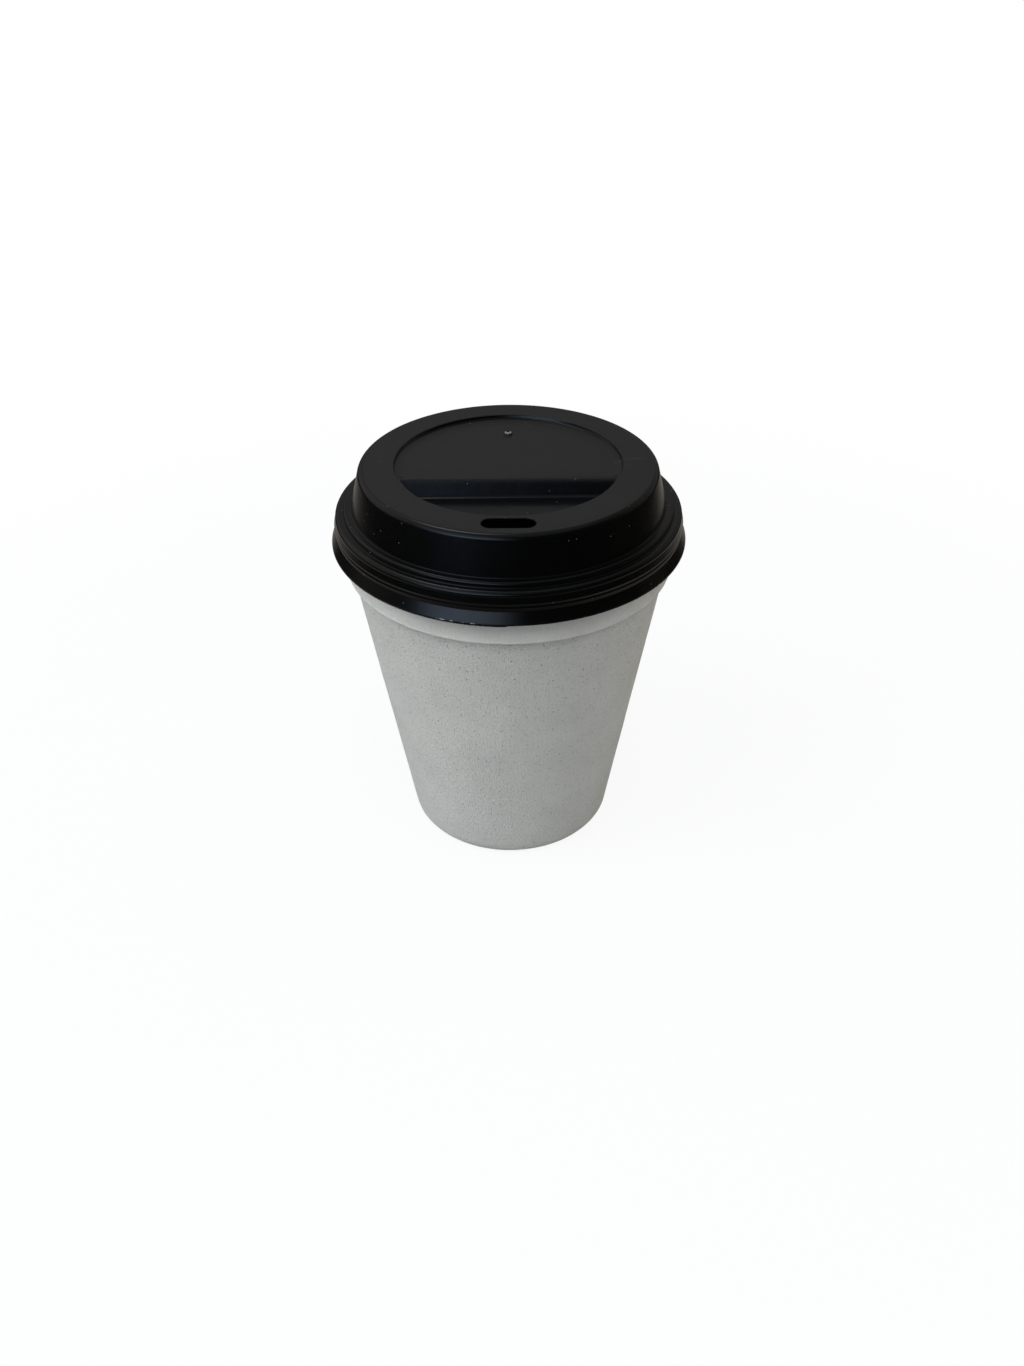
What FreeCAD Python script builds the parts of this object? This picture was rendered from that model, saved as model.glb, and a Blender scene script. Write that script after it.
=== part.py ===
import FreeCAD, Part
import os
import re

import Sketcher
from FreeCAD import Vector

# A small take-away coffee cup of moulded fibre with a black sip lid pressed on.
# Millimetres. +Z is up, the cup stands on z = 0, and the sip slot faces -Y.
# Both pieces are turned about Z, apart from the panel, well, slot and vent in the lid's top.

SHEET = "Sizes"
PLACE_TOLERANCE = 0.001

DRIVING = {
    # Cup: floor and foot
    "cup_height": 87.4,
    "cup_wall": 0.9,
    "cup_floor": 1.0,
    "foot_radius": 25.3,
    "foot_corner": 3.0,
    "foot_ring": 5.0,
    "foot_rise": 1.1,
    "foot_ring_slope": 0.8,
    # Cup: rim, lip and collar
    "rim_radius": 40.05,
    "rim_round": 0.3,
    "lip_width": 0.95,
    "lip_height": 0.9,
    "lip_slope": 0.5,
    "collar_height": 14.1,
    "collar_flare": 0.1,
    "collar_step": 1.4,
    "collar_step_rise": 0.6,
    "collar_round": 0.4,
    # Lid: how it sits on the rim
    "lid_wall": 0.45,
    "rim_clearance": 0.3,
    "seat_clearance": 0.1,
    # Lid: skirt and snap groove
    "seat_depth": 1.95,
    "snap_bulge": 0.35,
    "snap_drop": 0.7,
    "snap_groove": 0.08,
    "snap_bead": 0.3,
    "bead_pitch": 0.5,
    "bead_foot": 0.8,
    "skirt_drop": 3.0,
    "skirt_flare": 1.2,
    # Lid: ledges and dome
    "shoulder_width": 2.05,
    "shoulder_round": 0.9,
    "ledge_width": 1.75,
    "ledge_step": 1.3,
    "ledge_lean": 0.2,
    "ledge_round": 0.45,
    "dome_height": 9.1,
    "dome_lean": 2.3,
    "dome_round": 1.0,
    # Lid: recess, panel and drinking well
    "recess_margin": 8.2,
    "recess_shift": 1.05,
    "recess_round": 0.45,
    "panel_depth": 0.95,
    "fold_setback": 6.7,
    "well_depth": 3.7,
    "well_run": 2.2,
    "well_draft": 0.35,
    # Lid: sip slot and vent
    "slot_length": 12.0,
    "slot_width": 4.4,
    "slot_inset": 5.65,
    "vent_inset": 9.35,
    "vent_radius": 1.1,
    "vent_height": 0.7,
    "vent_lean": 0.3,
    "vent_hole": 0.3,
}

# Sizes that follow from the driving ones, as formulas of the same sheet.
DERIVED = {
    "collar_foot": "cup_height - collar_height",
    "neck_radius": "rim_radius - lip_width",
    "collar_radius": "neck_radius - collar_flare",
    "cone_top_radius": "collar_radius - collar_step",
    "ring_radius": "foot_radius - foot_ring",
    "seat_level": "cup_height + seat_clearance",
    "seat_radius": "rim_radius + rim_clearance",
    "wall_radius": "seat_radius + lid_wall",
    "snap_level": "seat_level - seat_depth + lid_wall",
    "bulge_level": "snap_level - snap_drop",
    "groove_level": "bulge_level - bead_pitch",
    "bead_level": "groove_level - bead_pitch",
    "flare_level": "bead_level - bead_foot",
    "skirt_level": "flare_level - skirt_drop",
    "skirt_radius": "wall_radius + skirt_flare",
    "skirt_wall": "lid_wall * sqrt(1 + (skirt_flare / skirt_drop) ^ 2)",
    "shoulder_level": "seat_level + lid_wall",
    "ledge_radius": "wall_radius - shoulder_width",
    "ledge_level": "shoulder_level + ledge_step",
    "dome_foot_radius": "ledge_radius - ledge_width",
    "dome_radius": "dome_foot_radius - dome_lean",
    "dome_level": "ledge_level + dome_height",
    "recess_radius": "dome_radius - recess_margin",
    "panel_level": "dome_level - panel_depth",
    "fold_place": "recess_shift - fold_setback",
    "well_level": "panel_level - well_depth",
    "slot_place": "slot_inset - dome_radius",
    "vent_place": "recess_shift + recess_radius - vent_inset",
}

# Half section of the cup: radius and height of each corner, from the middle of the underside
# out to the foot, up the outside to the rim and back down the inside.
CUP_SECTION = [
    ("0", "foot_rise"),
    ("ring_radius - foot_ring_slope", "foot_rise"),
    ("ring_radius", "0"),
    ("foot_radius", "0"),
    ("cone_top_radius", "collar_foot"),
    ("collar_radius", "collar_foot + collar_step_rise"),
    ("neck_radius", "cup_height - lip_height - lip_slope"),
    ("rim_radius", "cup_height - lip_height"),
    ("rim_radius", "cup_height"),
    ("neck_radius - cup_wall", "cup_height"),
    ("neck_radius - cup_wall", "cup_height - lip_height - lip_slope"),
    ("collar_radius - cup_wall", "collar_foot + 2 * collar_step_rise"),
    ("cone_top_radius - cup_wall", "collar_foot + collar_step_rise"),
    ("foot_radius - cup_wall", "cup_floor"),
    ("ring_radius", "cup_floor"),
    ("ring_radius - foot_ring_slope", "foot_rise + cup_floor"),
    ("0", "foot_rise + cup_floor"),
]

# Rounded corners of the cup: radius and height of the corner, and how round it is.
CUP_ROUNDS = [
    ("foot_radius", "0", "foot_corner"),
    ("foot_radius - cup_wall", "cup_floor", "foot_corner - cup_wall"),
    ("cone_top_radius", "collar_foot", "collar_round"),
    ("collar_radius", "collar_foot + collar_step_rise", "collar_round"),
    ("rim_radius", "cup_height", "rim_round"),
    ("rim_radius", "cup_height - lip_height", "rim_round"),
    ("neck_radius - cup_wall", "cup_height", "rim_round"),
]

# Half section of the lid: down the outside from the middle of the top, back up the inside.
LID_SECTION = [
    ("0", "dome_level"),
    ("dome_radius", "dome_level"),
    ("dome_foot_radius", "ledge_level"),
    ("ledge_radius", "ledge_level"),
    ("ledge_radius + ledge_lean", "shoulder_level"),
    ("wall_radius", "shoulder_level"),
    ("wall_radius", "snap_level"),
    ("wall_radius + snap_bulge", "bulge_level"),
    ("wall_radius + snap_groove", "groove_level"),
    ("wall_radius + snap_bead", "bead_level"),
    ("wall_radius", "flare_level"),
    ("skirt_radius", "skirt_level"),
    ("skirt_radius - skirt_wall", "skirt_level"),
    ("seat_radius", "flare_level"),
    ("seat_radius + snap_bead", "bead_level"),
    ("seat_radius + snap_groove", "groove_level"),
    ("seat_radius + snap_bulge", "bulge_level"),
    ("seat_radius", "snap_level"),
    ("seat_radius", "seat_level"),
    ("ledge_radius + ledge_lean - lid_wall", "seat_level"),
    ("ledge_radius - lid_wall", "ledge_level - lid_wall"),
    ("dome_foot_radius - lid_wall", "ledge_level - lid_wall"),
    ("dome_radius - lid_wall", "dome_level - lid_wall"),
    ("0", "dome_level - lid_wall"),
]

# Rounded corners of the lid, the sheet's outside first and then its inside.
LID_ROUNDS = [
    ("dome_radius", "dome_level", "dome_round"),
    ("dome_foot_radius", "ledge_level", "ledge_round"),
    ("ledge_radius", "ledge_level", "ledge_round"),
    ("ledge_radius + ledge_lean", "shoulder_level", "ledge_round"),
    ("wall_radius", "shoulder_level", "shoulder_round"),
    ("dome_radius - lid_wall", "dome_level - lid_wall", "dome_round - lid_wall"),
    ("dome_foot_radius - lid_wall", "ledge_level - lid_wall", "ledge_round + lid_wall"),
    ("ledge_radius + ledge_lean - lid_wall", "seat_level", "ledge_round + lid_wall"),
    ("seat_radius", "seat_level", "shoulder_round - lid_wall"),
]


def in_sheet(text):
    """Turn the size names of a formula into references to the sheet."""
    names = {**DRIVING, **DERIVED}
    return re.sub(r"[a-z_]+", lambda word: f"{SHEET}.{word[0]}" if word[0] in names else word[0], text)


def make_sheet(doc):
    """Write the driving numbers and the formulas that follow from them, each with its alias."""
    sheet = doc.addObject("Spreadsheet::Sheet", SHEET)
    rows = [(alias, str(number)) for alias, number in DRIVING.items()]
    rows += [(alias, "=" + formula) for alias, formula in DERIVED.items()]
    for row, (alias, content) in enumerate(rows, start=1):
        sheet.set(f"A{row}", alias)
        sheet.set(f"B{row}", content)
        sheet.setAlias(f"B{row}", alias)
    doc.recompute()


def value_of(doc, text):
    """Work out a formula of size names."""
    return float(doc.getObject(SHEET).evalExpression(in_sheet(text)))


def new_body(doc, name):
    """Start a body with its own label and placement."""
    body = doc.addObject("PartDesign::Body", name.capitalize())
    body.Label = name
    body.Placement = FreeCAD.Placement()
    return body


def new_sketch(body, name, role, level="0"):
    """Put an empty sketch on one of the body's own origin planes, raised to a level."""
    sketch = body.newObject("Sketcher::SketchObject", name)
    plane = [item for item in body.Origin.OriginFeatures if item.Role == role][0]
    sketch.AttachmentSupport = [(plane, "")]
    sketch.MapMode = "FlatFace"
    sketch.setExpression("AttachmentOffset.Base.z", in_sheet(level))
    return sketch


def bind(sketch, constraint, text):
    """Add a dimension and tie it to the sheet."""
    index = sketch.addConstraint(constraint)
    sketch.setExpression(f"Constraints[{index}]", in_sheet(text))


def place_point(sketch, geometry, end, across, along):
    """Fix a point of a piece of geometry at two formulas, or on the axes where they are 0."""
    for kind, text, axis in (("DistanceX", across, -2), ("DistanceY", along, -1)):
        if text == "0":
            sketch.addConstraint(Sketcher.Constraint("PointOnObject", geometry, end, axis))
        else:
            here = value_of(sketch.Document, text)
            bind(sketch, Sketcher.Constraint(kind, -1, 1, geometry, end, here), text)


def section_sketch(body, name, corners):
    """Draw a closed half section of straight edges, each corner a radius and a height."""
    sketch = new_sketch(body, name, "XZ_Plane")
    doc = sketch.Document
    points = [Vector(value_of(doc, radius), value_of(doc, height), 0) for radius, height in corners]
    edges = []
    for start, finish in zip(points, points[1:] + points[:1]):
        edges.append(sketch.addGeometry(Part.LineSegment(start, finish), False))
    for edge, following in zip(edges, edges[1:] + edges[:1]):
        sketch.addConstraint(Sketcher.Constraint("Coincident", edge, 2, following, 1))
    for edge, (radius, height) in zip(edges, corners):
        place_point(sketch, edge, 1, radius, height)
    return sketch


def disc_sketch(body, name, level, along, radius):
    """Draw a circle at a level, with its middle on the Y axis."""
    sketch = new_sketch(body, name, "XY_Plane", level)
    doc = sketch.Document
    reach = value_of(doc, radius)
    circle = Part.Circle(Vector(0, value_of(doc, along), 0), Vector(0, 0, 1), reach)
    outline = sketch.addGeometry(circle, False)
    place_point(sketch, outline, 3, "0", along)
    bind(sketch, Sketcher.Constraint("Radius", outline, reach), radius)
    return sketch


def segment_sketch(body, name, level, radius, chord):
    """Draw the front part of a circle about the recess's middle, cut off by a chord along X."""
    sketch = new_sketch(body, name, "XY_Plane", level)
    doc = sketch.Document
    middle = value_of(doc, "recess_shift")
    reach = value_of(doc, radius)
    place = value_of(doc, chord)
    half = (reach ** 2 - (place - middle) ** 2) ** 0.5
    left = Vector(-half, place, 0)
    right = Vector(half, place, 0)
    front = Vector(0, middle - reach, 0)
    arc = sketch.addGeometry(Part.Arc(left, front, right), False)
    line = sketch.addGeometry(Part.LineSegment(right, left), False)
    sketch.addConstraint(Sketcher.Constraint("Coincident", line, 1, arc, 2))
    sketch.addConstraint(Sketcher.Constraint("Coincident", line, 2, arc, 1))
    sketch.addConstraint(Sketcher.Constraint("Horizontal", line))
    place_point(sketch, arc, 3, "0", "recess_shift")
    bind(sketch, Sketcher.Constraint("Radius", arc, reach), radius)
    bind(sketch, Sketcher.Constraint("DistanceY", -1, 1, line, 1, place), chord)
    return sketch


def stadium_sketch(body, name, level, along, length, width):
    """Draw a slot outline with round ends, long in X, with its middle on the Y axis."""
    sketch = new_sketch(body, name, "XY_Plane", level)
    doc = sketch.Document
    place = value_of(doc, along)
    radius = f"{width} / 2"
    reach = value_of(doc, radius)
    run = value_of(doc, f"({length} - {width}) / 2")
    edges = {}
    for side in (-1, 1):
        level_line = place + side * reach
        line = Part.LineSegment(Vector(-run, level_line, 0), Vector(run, level_line, 0))
        edges[side] = sketch.addGeometry(line, False)
    # Both ends turn anticlockwise: the right one starts at the bottom, the left one at the top.
    for side, line_end in ((-1, 1), (1, 2)):
        start = Vector(side * run, place - side * reach, 0)
        tip = Vector(side * (run + reach), place, 0)
        finish = Vector(side * run, place + side * reach, 0)
        arc = sketch.addGeometry(Part.Arc(start, tip, finish), False)
        for arc_end, edge in ((1, edges[-side]), (2, edges[side])):
            sketch.addConstraint(Sketcher.Constraint("Coincident", arc, arc_end, edge, line_end))
            sketch.addConstraint(Sketcher.Constraint("Vertical", arc, 3, arc, arc_end))
        place_point(sketch, arc, 3, f"({length} - {width}) / {2 * side}", along)
        bind(sketch, Sketcher.Constraint("Radius", arc, reach), radius)
    return sketch


def revolve(body, name, sketch):
    """Turn a half section about Z."""
    feature = body.newObject("PartDesign::Revolution", name)
    feature.Profile = sketch
    feature.ReferenceAxis = (sketch, ["V_Axis"])
    feature.Angle = 360.0
    body.Document.recompute()
    return feature


def loft(body, kind, name, first, last):
    """Join two outlines with straight walls, as added or as cut material."""
    feature = body.newObject(f"PartDesign::{kind}", name)
    feature.Profile = first
    feature.Sections = [last]
    feature.Ruled = True
    body.Document.recompute()
    return feature


def extrude(body, kind, name, sketch, length):
    """Pad an outline upwards or pocket it downwards, by a length."""
    feature = body.newObject(f"PartDesign::{kind}", name)
    feature.Profile = sketch
    feature.setExpression("Length", in_sheet(length))
    body.Document.recompute()
    return feature


def round_edges(body, name, edges, text):
    """Round the named edges of the body's last feature."""
    base = body.Tip
    feature = body.newObject("PartDesign::Fillet", name)
    feature.Base = (base, edges)
    feature.setExpression("Radius", in_sheet(text))
    body.Document.recompute()
    return feature


def ring_edges(body, radius, level, along="0"):
    """Name the full or part circles of a radius, at a level, about a point on the Y axis."""
    doc = body.Document
    reach = value_of(doc, radius)
    middle = Vector(0, value_of(doc, along), value_of(doc, level))
    names = []
    for number, edge in enumerate(body.Tip.Shape.Edges, start=1):
        curve = edge.Curve
        if isinstance(curve, Part.Circle) and abs(curve.Radius - reach) < PLACE_TOLERANCE:
            if (curve.Center - middle).Length < PLACE_TOLERANCE:
                names.append(f"Edge{number}")
    return names


def round_section(body, rounds):
    """Round the turned corners of a body, one fillet for each corner."""
    for number, (radius, level, text) in enumerate(rounds, start=1):
        edges = ring_edges(body, radius, level)
        round_edges(body, f"{body.Name}Round{number:02d}", edges, text)


def make_cup(doc):
    """Cup: one fibre moulding with a raised floor, foot ring, tapered wall, collar and lip."""
    body = new_body(doc, "cup")
    revolve(body, "CupShell", section_sketch(body, "CupSection", CUP_SECTION))
    round_section(body, CUP_ROUNDS)


def make_lid_recess(body):
    """Sink a round panel in the lid's top, and a deeper drinking well in front of its fold."""
    # The sheet under the panel and round the well, a wall thickness outside the sunk faces.
    tray = disc_sketch(body, "TrayOutline", "panel_level - lid_wall", "recess_shift", "recess_radius + lid_wall")
    extrude(body, "Pad", "Tray", tray, "panel_depth")
    trough_top = segment_sketch(
        body, "TroughTop", "panel_level - lid_wall / 2", "recess_radius + lid_wall", "fold_place + lid_wall")
    trough_floor = segment_sketch(
        body, "TroughFloor", "well_level - lid_wall",
        "recess_radius - well_draft + lid_wall", "fold_place - well_run + lid_wall")
    loft(body, "AdditiveLoft", "Trough", trough_top, trough_floor)
    # The sunk faces.
    panel = disc_sketch(body, "PanelOutline", "dome_level", "recess_shift", "recess_radius")
    extrude(body, "Pocket", "Panel", panel, "panel_depth")
    well_top = segment_sketch(body, "WellTop", "panel_level", "recess_radius", "fold_place")
    well_floor = segment_sketch(
        body, "WellFloor", "well_level", "recess_radius - well_draft", "fold_place - well_run")
    loft(body, "SubtractiveLoft", "Well", well_top, well_floor)


def make_lid(doc):
    """Lid: one thermoformed sheet with a domed top, two ledges, a snap groove and a flared skirt."""
    body = new_body(doc, "lid")
    revolve(body, "LidShell", section_sketch(body, "LidSection", LID_SECTION))
    round_section(body, LID_ROUNDS)
    make_lid_recess(body)
    slot = stadium_sketch(body, "SlotOutline", "dome_level", "slot_place", "slot_length", "slot_width")
    extrude(body, "Pocket", "SipSlot", slot, "lid_wall * 2")
    boss_foot = disc_sketch(body, "VentFoot", "panel_level - lid_wall / 2", "vent_place", "vent_radius")
    boss_top = disc_sketch(
        body, "VentTop", "panel_level + vent_height", "vent_place", "vent_radius - vent_lean")
    loft(body, "AdditiveLoft", "VentBoss", boss_foot, boss_top)
    hole = disc_sketch(body, "VentHoleOutline", "panel_level + vent_height", "vent_place", "vent_hole")
    extrude(body, "Pocket", "VentHole", hole, "vent_height + lid_wall * 2")
    rim = ring_edges(body, "recess_radius", "dome_level", "recess_shift")
    round_edges(body, "RecessRound", rim, "recess_round")


def check_features(doc):
    """Stop if an object failed, or if a feature added or cut nothing."""
    for item in doc.Objects:
        if "Invalid" in item.State or "Error" in item.State:
            raise RuntimeError(f"{item.Name} failed: {item.State}")
    for body in doc.findObjects("PartDesign::Body"):
        last = 0.0
        for feature in body.Group:
            if not feature.isDerivedFrom("PartDesign::Feature"):
                continue
            volume = feature.Shape.Volume
            adds = feature.TypeId in ("PartDesign::Revolution", "PartDesign::Pad", "PartDesign::AdditiveLoft")
            cuts = feature.TypeId in ("PartDesign::Pocket", "PartDesign::SubtractiveLoft")
            if adds and volume <= last or cuts and volume >= last:
                raise RuntimeError(f"{feature.Name} did not change {body.Label}")
            last = volume


def write_parts(doc):
    """Write one STEP file for each body."""
    os.makedirs("parts", exist_ok=True)
    for body in doc.findObjects("PartDesign::Body"):
        shape = body.Shape
        if shape.isNull() or not shape.isValid() or len(shape.Solids) != 1:
            raise RuntimeError(f"{body.Label} is not one valid solid")
        shape.exportStep(f"parts/{body.Label}.step")
        box = shape.BoundBox
        print(f"{body.Label}: {shape.Volume:.1f} mm3, {box.XLength:.2f} x {box.YLength:.2f} x {box.ZLength:.2f} mm")


doc = FreeCAD.newDocument("LiddedCup")
make_sheet(doc)
make_cup(doc)
make_lid(doc)
check_features(doc)
write_parts(doc)
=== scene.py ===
"""A small take-away coffee cup of moulded fibre, closed by a black sip lid.

Lengths in the classes are millimetres, and meshes are made in metres in the part's own frame:
+Z is up, the cup stands on z = 0 and the sip slot faces -Y. Both pieces are turned about Z,
then the lid's recess, drinking well, slot and vent are sunk into it.
"""
from __future__ import annotations

import logging
import math
from dataclasses import dataclass
from enum import Enum
from typing import Sequence

import bpy
from mathutils import Matrix, Vector


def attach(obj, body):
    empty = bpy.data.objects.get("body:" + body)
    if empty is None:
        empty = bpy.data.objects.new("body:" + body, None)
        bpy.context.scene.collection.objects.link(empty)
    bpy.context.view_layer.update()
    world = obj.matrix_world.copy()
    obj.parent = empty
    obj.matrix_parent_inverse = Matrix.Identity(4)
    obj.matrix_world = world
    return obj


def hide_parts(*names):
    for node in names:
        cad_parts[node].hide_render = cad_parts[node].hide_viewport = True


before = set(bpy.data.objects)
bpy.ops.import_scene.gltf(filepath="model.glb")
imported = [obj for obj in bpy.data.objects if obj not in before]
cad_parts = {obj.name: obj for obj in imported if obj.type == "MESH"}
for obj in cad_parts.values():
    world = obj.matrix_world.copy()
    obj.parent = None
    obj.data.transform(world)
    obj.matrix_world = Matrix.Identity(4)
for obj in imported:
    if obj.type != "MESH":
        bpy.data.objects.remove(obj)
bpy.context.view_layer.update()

LOG = logging.getLogger("cup_scene")
MM = 0.001
WHITE = (1.0, 1.0, 1.0, 1.0)

Colour = tuple[float, float, float, float]
Socket = bpy.types.NodeSocket


class Slot(Enum):
    """Material slots of the record."""

    FIBRE = "fibre"
    LID = "lid_plastic"


class Cut(Enum):
    """How one mesh acts on another."""

    ADD = "UNION"
    REMOVE = "DIFFERENCE"


@dataclass(frozen=True)
class Corner:
    """One corner of a turned outline.

    Attributes:
        radius: Distance from the axis.
        height: Level above the table.
        rounding: Radius of the arc that replaces the corner, or 0 for a sharp one.
    """

    radius: float
    height: float
    rounding: float = 0.0

    @property
    def point(self) -> Vector:
        """The corner as a 2D point."""
        return Vector((self.radius, self.height))


@dataclass(frozen=True)
class Outline:
    """An outline in the plane of radius and height.

    Attributes:
        corners: The corners in order.
        longest_run: Straight stretches are divided until no run is longer than this.
        arc_step: Largest turn between two points of an arc, in degrees.
    """

    corners: Sequence[Corner]
    longest_run: float = 400.0
    arc_step: float = 12.0

    def _arc(self, before: Vector, corner: Corner, after: Vector) -> list[Vector]:
        """Round one corner.

        Args:
            before: The corner before it.
            corner: The corner to round.
            after: The corner after it.

        Returns:
            The points of the arc, or the corner itself where it is sharp.
        """
        if corner.rounding <= 0.0:
            return [corner.point]
        back = (before - corner.point).normalized()
        ahead = (after - corner.point).normalized()
        half = math.acos(max(-1.0, min(1.0, back.dot(ahead)))) / 2.0
        reach = corner.rounding / math.tan(half)
        centre = corner.point + (back + ahead).normalized() * (corner.rounding / math.sin(half))
        first = corner.point + back * reach - centre
        last = corner.point + ahead * reach - centre
        sweep = math.atan2(first.x * last.y - first.y * last.x, first.dot(last))
        count = max(2, math.ceil(abs(math.degrees(sweep)) / self.arc_step))
        return [centre + Matrix.Rotation(sweep * step / count, 2) @ first for step in range(count + 1)]

    def points(self) -> list[Vector]:
        """Round the corners and divide the long runs.

        Returns:
            Points of radius and height, in millimetres.
        """
        rounded: list[Vector] = []
        last = len(self.corners) - 1
        for index, corner in enumerate(self.corners):
            before = self.corners[max(index - 1, 0)].point
            after = self.corners[min(index + 1, last)].point
            rounded += self._arc(before, corner, after)
        divided = rounded[:1]
        for finish in rounded[1:]:
            start = divided[-1].copy()
            pieces = max(1, math.ceil((finish - start).length / self.longest_run))
            divided += [start.lerp(finish, step / pieces) for step in range(1, pieces + 1)]
        return divided


class Bench:
    """The modelling steps that the pieces share, each done with Blender's own operators."""

    MERGE = 1e-6

    @staticmethod
    def clear_selection() -> None:
        """Leave edit mode and deselect every object."""
        if bpy.context.object and bpy.context.object.mode != "OBJECT":
            bpy.ops.object.mode_set(mode="OBJECT")
        bpy.ops.object.select_all(action="DESELECT")

    @staticmethod
    def pick(piece: bpy.types.Object) -> None:
        """Make one object the only selected and the active one."""
        Bench.clear_selection()
        piece.select_set(True)
        bpy.context.view_layer.objects.active = piece

    @staticmethod
    def edit_all() -> None:
        """Enter edit mode with the whole mesh selected."""
        bpy.ops.object.mode_set(mode="EDIT")
        bpy.ops.mesh.select_all(action="SELECT")

    @staticmethod
    def close_edit(name: str) -> bpy.types.Object:
        """Merge doubles, turn the faces outwards and leave edit mode.

        Args:
            name: Name for the finished object.

        Returns:
            The object, with its place in its mesh.
        """
        bpy.ops.mesh.select_all(action="SELECT")
        bpy.ops.mesh.remove_doubles(threshold=Bench.MERGE)
        bpy.ops.mesh.normals_make_consistent(inside=False)
        bpy.ops.object.mode_set(mode="OBJECT")
        piece = bpy.context.object
        piece.name = name
        piece.data.name = name
        bpy.ops.object.transform_apply(location=True, rotation=True, scale=True)
        return piece

    @staticmethod
    def turn(name: str, outline: Outline, steps: int, along: float = 0.0) -> bpy.types.Object:
        """Turn an outline about a vertical axis.

        Args:
            name: Name of the new object.
            outline: Outline that starts and ends on the axis.
            steps: Number of steps of the full turn.
            along: Place of the axis on Y, in millimetres.

        Returns:
            The closed turned object.
        """
        points = [Vector((point.x, along, point.y)) * MM for point in outline.points()]
        Bench.clear_selection()
        bpy.ops.mesh.primitive_plane_add(size=MM, location=points[0])
        Bench.edit_all()
        bpy.ops.mesh.merge(type="CENTER")
        for start, finish in zip(points, points[1:]):
            bpy.ops.mesh.extrude_region_move(TRANSFORM_OT_translate={"value": finish - start})
        bpy.ops.mesh.select_all(action="SELECT")
        bpy.ops.mesh.spin(
            steps=steps, angle=math.tau, center=(0.0, along * MM, 0.0), axis=(0.0, 0.0, 1.0))
        return Bench.close_edit(name)

    @staticmethod
    def combine(piece: bpy.types.Object, tool: bpy.types.Object, cut: Cut) -> None:
        """Add a tool to a piece or remove it from the piece, and delete the tool.

        Args:
            piece: The object that stays.
            tool: The closed object that acts on it.
            cut: Whether the tool is added or removed.
        """
        Bench.pick(piece)
        modifier = piece.modifiers.new(tool.name, "BOOLEAN")
        modifier.object = tool
        modifier.operation = cut.value
        modifier.solver = "EXACT"
        bpy.ops.object.modifier_apply(modifier=modifier.name)
        bpy.data.objects.remove(tool)

    @staticmethod
    def uneven(piece: bpy.types.Object, name: str, grain: float, height: float) -> None:
        """Make a surface slightly uneven with a cloud displacement.

        Args:
            piece: The object to displace.
            name: Name of the modifier and its texture.
            grain: Size of the clouds, in millimetres.
            height: Height from valley to crest, in millimetres.
        """
        clouds = bpy.data.textures.new(name, "CLOUDS")
        clouds.noise_scale = grain * MM
        clouds.noise_depth = 2
        Bench.pick(piece)
        modifier = piece.modifiers.new(name, "DISPLACE")
        modifier.texture = clouds
        modifier.texture_coords = "LOCAL"
        modifier.strength = height * MM
        bpy.ops.object.modifier_apply(modifier=modifier.name)

    @staticmethod
    def smooth(piece: bpy.types.Object, angle: float) -> None:
        """Shade smooth below an angle, with normals weighted by the size of the faces.

        Args:
            piece: The object to shade.
            angle: Sharpest turn that is still smooth, in degrees.
        """
        Bench.pick(piece)
        bpy.ops.object.shade_smooth_by_angle(angle=math.radians(angle))
        modifier = piece.modifiers.new("weighted", "WEIGHTED_NORMAL")
        modifier.keep_sharp = True
        bpy.ops.object.modifier_apply(modifier=modifier.name)


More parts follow.
